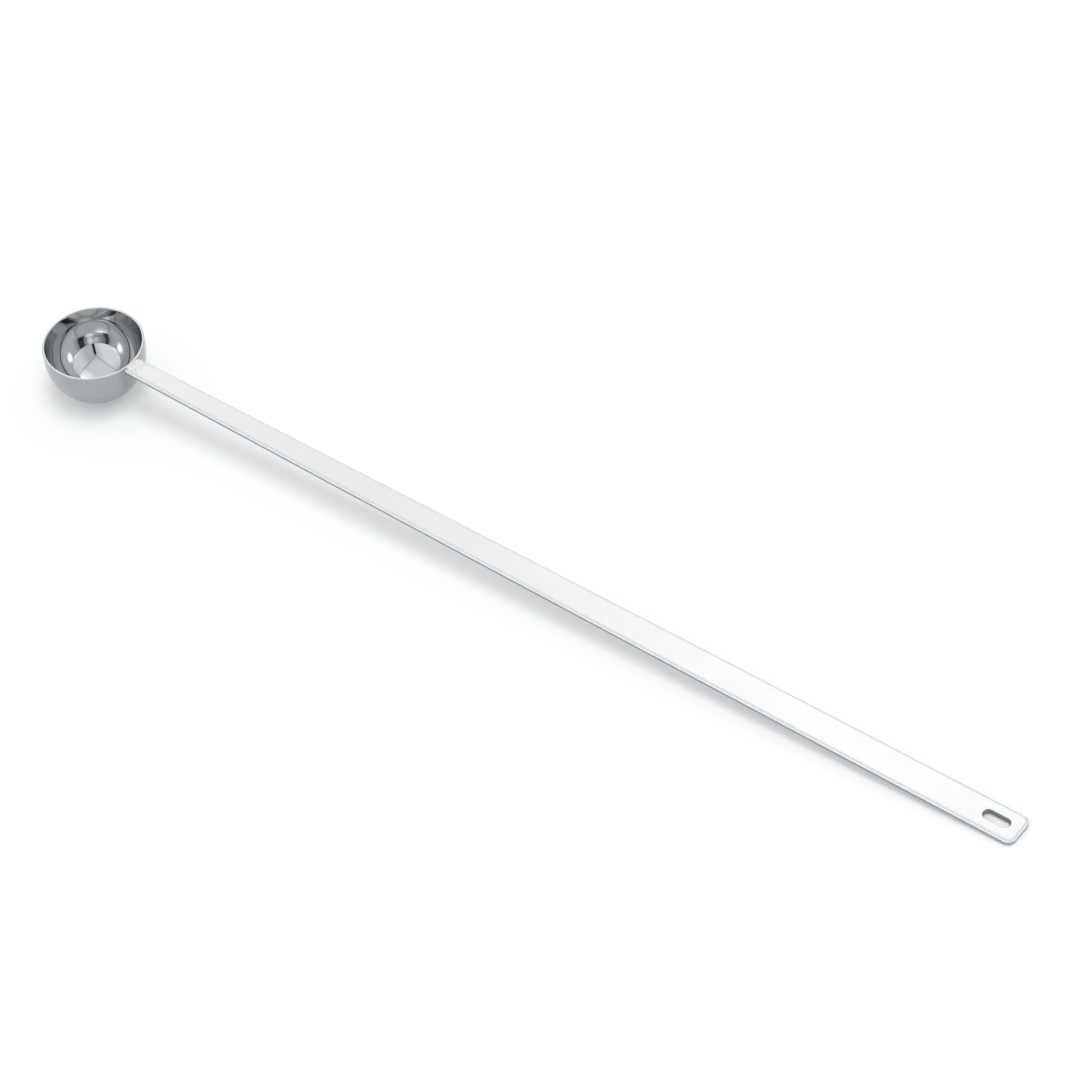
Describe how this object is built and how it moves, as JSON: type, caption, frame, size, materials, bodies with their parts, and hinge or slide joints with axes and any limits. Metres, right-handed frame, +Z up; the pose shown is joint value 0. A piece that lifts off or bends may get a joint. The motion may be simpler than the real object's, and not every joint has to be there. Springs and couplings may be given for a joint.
{
  "type": "measuring spoon",
  "caption": "Long-handled stainless steel measuring spoon: round one-tablespoon bowl welded to a flat tapered strip handle with a hanging slot.",
  "frame": {"origin": "on the table under the middle of the spoon's overall box, as it lies on the bowl's round bottom and the handle's tip", "axes": "+X from the bowl to the handle's tip, +Z up from the table; the bowl's axis and the handle's top face lean 2.97 degrees towards +X, so the handle slopes down to its tip"},
  "size_m": [0.3996, 0.0358, 0.0234],
  "materials": {
    "bowl_steel": "mirror-polished inside and on the rim, satin outside",
    "handle_steel": "fine satin",
    "weld_steel": "as welded, lightly polished"
  },
  "bodies": {
    "root": {"bowl": "bowl_steel", "handle": "handle_steel", "weld_top": "weld_steel", "weld_under": "weld_steel"}
  },
  "joints": []
}
